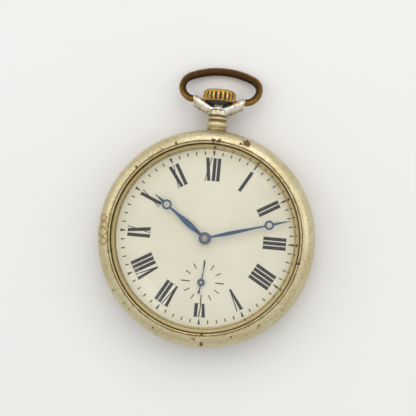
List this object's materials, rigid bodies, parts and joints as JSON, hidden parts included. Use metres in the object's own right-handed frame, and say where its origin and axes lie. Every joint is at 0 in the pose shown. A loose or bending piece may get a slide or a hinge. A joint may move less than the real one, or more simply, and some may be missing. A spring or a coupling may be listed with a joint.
{
  "type": "open face pocket watch",
  "caption": "Open face pocket watch with a snap-fit bezel, domed crystal, swinging bow, winding crown, small seconds and a hand-wound lever movement.",
  "frame": {"origin": "middle of the flat face of the case back, with the watch lying on its back", "axes": "+Z is the way the dial faces, +Y is twelve o'clock, towards the crown and bow, +X is three o'clock"},
  "size_m": [0.05, 0.065, 0.0119],
  "materials": {
    "nickel_case": "worn nickel plate over brass, brushed, with spots of corrosion",
    "bright_yoke": "bright nickel plate, rubbed",
    "brown_brass": "brown tarnished brass, rubbed on the outer edge",
    "worn_brass_crown": "worn brass with dark flutes",
    "acrylic_crystal": "clear polished acrylic",
    "dial_cream": "cream lacquer, slightly aged",
    "dial_print": "printed blue black ink",
    "blued_steel": "heat blued, polished",
    "plated_movement": "nickel plate with fine straight graining",
    "gilt_brass": "gilt, circular grain",
    "steel": "polished steel",
    "ruby": "synthetic ruby"
  },
  "bodies": {
    "case": {"case_middle": "nickel_case", "pendant_neck": "nickel_case", "bow_yoke": "bright_yoke", "dial": "dial_cream", "main_plate": "plated_movement", "barrel_bridge": "plated_movement", "train_bridge": "plated_movement", "balance_cock": "plated_movement", "pallet_cock": "plated_movement", "bridge_screws": "steel", "case_screws": "steel", "jewels": "ruby", "crown_wheel_screw": "steel", "click_screw": "steel", "click_spring": "steel", "hairspring_stud": "steel", "setting_bridge": "steel", "clutch_spring": "steel"},
    "bow": {"bow": "brown_brass"},
    "bezel": {"bezel": "nickel_case", "crystal": "acrylic_crystal"},
    "case_back": {"case_back": "nickel_case"},
    "winding_pinion": {"winding_pinion": "steel"},
    "crown_and_stem": {"crown": "worn_brass_crown", "winding_stem": "steel"},
    "sliding_pinion": {"sliding_pinion": "steel"},
    "setting_lever": {"setting_lever": "steel"},
    "clutch_lever": {"clutch_lever": "steel"},
    "crown_wheel": {"crown_wheel": "steel"},
    "barrel_arbor": {"barrel_arbor": "steel", "ratchet_wheel": "steel", "ratchet_screw": "steel"},
    "click": {"click": "steel"},
    "barrel": {"barrel_drum": "gilt_brass", "barrel_cover": "gilt_brass", "mainspring": "steel"},
    "centre_wheel": {"centre_wheel": "gilt_brass"},
    "third_wheel": {"third_wheel": "gilt_brass"},
    "fourth_wheel": {"fourth_wheel": "gilt_brass", "seconds_hand": "blued_steel"},
    "escape_wheel": {"escape_wheel": "steel"},
    "pallet_fork": {"pallet_fork": "steel", "pallet_stones": "ruby"},
    "balance": {"balance_wheel": "gilt_brass", "balance_staff": "steel", "hairspring": "blued_steel"},
    "regulator": {"regulator": "steel"},
    "cannon_pinion": {"cannon_pinion": "steel", "minute_hand": "blued_steel"},
    "minute_wheel": {"minute_wheel": "gilt_brass"},
    "setting_wheel": {"setting_wheel": "steel"},
    "hour_wheel": {"hour_wheel": "gilt_brass", "hour_hand": "blued_steel"}
  },
  "joints": [
    {"name": "bow_swing", "type": "hinge", "parent": "case", "child": "bow", "pos_m": [0, 0.032, 0.0046], "axis": [1, 0, 0], "range_deg": [-85, 140]},
    {"name": "bezel_lift_off", "type": "slide", "parent": "case", "child": "bezel", "axis": [0, 0, 1], "range_m": [0, 0.02]},
    {"name": "back_snap_off", "type": "slide", "parent": "case", "child": "case_back", "axis": [0, 0, -1], "range_m": [0, 0.02]},
    {"name": "crown_turn", "type": "hinge", "parent": "case", "child": "winding_pinion", "pos_m": [0, 0.0137, 0.0046], "axis": [0, 1, 0], "continuous": true},
    {"name": "crown_pull", "type": "slide", "parent": "winding_pinion", "child": "crown_and_stem", "axis": [0, 1, 0], "range_m": [0, 0.001]},
    {"name": "sliding_pinion_slide", "type": "slide", "parent": "winding_pinion", "child": "sliding_pinion", "axis": [0, 1, 0], "range_m": [-0.0009, 0]},
    {"name": "setting_lever_turn", "type": "hinge", "parent": "case", "child": "setting_lever", "pos_m": [-0.003, 0.0155, 0.0065], "axis": [0, 0, 1], "range_deg": [0, 20]},
    {"name": "clutch_lever_turn", "type": "hinge", "parent": "case", "child": "clutch_lever", "pos_m": [0.0034, 0.0113, 0.0065], "axis": [0, 0, 1], "range_deg": [0, 15]},
    {"name": "crown_wheel_turn", "type": "hinge", "parent": "case", "child": "crown_wheel", "pos_m": [0, 0.01, 0.0022], "axis": [0, 0, 1], "continuous": true},
    {"name": "barrel_arbor_turn", "type": "hinge", "parent": "case", "child": "barrel_arbor", "pos_m": [-0.00772, 0.00445, 0.0022], "axis": [0, 0, 1], "continuous": true},
    {"name": "click_turn", "type": "hinge", "parent": "case", "child": "click", "pos_m": [-0.01011, 0.01183, 0.0022], "axis": [0, 0, 1], "range_deg": [-8, 0]},
    {"name": "seconds_turn", "type": "hinge", "parent": "case", "child": "fourth_wheel", "pos_m": [0, -0.01005, 0.0045], "axis": [0, 0, 1], "continuous": true},
    {"name": "third_wheel_turn", "type": "hinge", "parent": "case", "child": "third_wheel", "pos_m": [-0.0035, -0.00577, 0.0052], "axis": [0, 0, 1], "continuous": true},
    {"name": "centre_wheel_turn", "type": "hinge", "parent": "case", "child": "centre_wheel", "pos_m": [0, 0, 0.0048], "axis": [0, 0, 1], "continuous": true},
    {"name": "barrel_turn", "type": "hinge", "parent": "case", "child": "barrel", "pos_m": [-0.00772, 0.00445, 0.0038], "axis": [0, 0, 1], "continuous": true},
    {"name": "escape_wheel_turn", "type": "hinge", "parent": "case", "child": "escape_wheel", "pos_m": [0.00417, -0.00931, 0.0052], "axis": [0, 0, 1], "continuous": true},
    {"name": "pallet_rock", "type": "hinge", "parent": "case", "child": "pallet_fork", "pos_m": [0.00673, -0.00775, 0.0052], "axis": [0, 0, 1], "range_deg": [-5, 5]},
    {"name": "balance_swing", "type": "hinge", "parent": "case", "child": "balance", "pos_m": [0.0096, -0.006, 0.004], "axis": [0, 0, 1], "range_deg": [-270, 270], "deforming": ["hairspring"]},
    {"name": "regulator_turn", "type": "hinge", "parent": "case", "child": "regulator", "pos_m": [0.0096, -0.006, 0.0019], "axis": [0, 0, 1], "range_deg": [-25, 25]},
    {"name": "hands_set", "type": "hinge", "parent": "case", "child": "cannon_pinion", "pos_m": [0, 0, 0.009], "axis": [0, 0, 1], "continuous": true},
    {"name": "minute_wheel_turn", "type": "hinge", "parent": "case", "child": "minute_wheel", "pos_m": [0, 0.0036, 0.0065], "axis": [0, 0, 1], "continuous": true},
    {"name": "setting_wheel_turn", "type": "hinge", "parent": "case", "child": "setting_wheel", "pos_m": [0, 0.00795, 0.0065], "axis": [0, 0, 1], "continuous": true},
    {"name": "hour_hand_turn", "type": "hinge", "parent": "case", "child": "hour_wheel", "pos_m": [0, 0, 0.007], "axis": [0, 0, 1], "continuous": true}
  ],
  "couplings": [
    {"joint": "sliding_pinion_slide", "follows": "crown_pull", "ratio": -0.8},
    {"joint": "setting_lever_turn", "follows": "crown_pull", "rad_per_m": 333.33},
    {"joint": "clutch_lever_turn", "follows": "crown_pull", "rad_per_m": 235.29},
    {"joint": "crown_wheel_turn", "follows": "crown_turn", "ratio": -0.51282},
    {"joint": "barrel_arbor_turn", "follows": "crown_turn", "ratio": 0.35714},
    {"joint": "third_wheel_turn", "follows": "seconds_turn", "ratio": -0.13333},
    {"joint": "centre_wheel_turn", "follows": "seconds_turn", "ratio": 0.016667},
    {"joint": "barrel_turn", "follows": "seconds_turn", "ratio": -0.0020833},
    {"joint": "escape_wheel_turn", "follows": "seconds_turn", "ratio": -10},
    {"joint": "minute_wheel_turn", "follows": "hands_set", "ratio": -0.33333},
    {"joint": "setting_wheel_turn", "follows": "hands_set", "ratio": 0.54545},
    {"joint": "hour_hand_turn", "follows": "hands_set", "ratio": 0.083333}
  ]
}
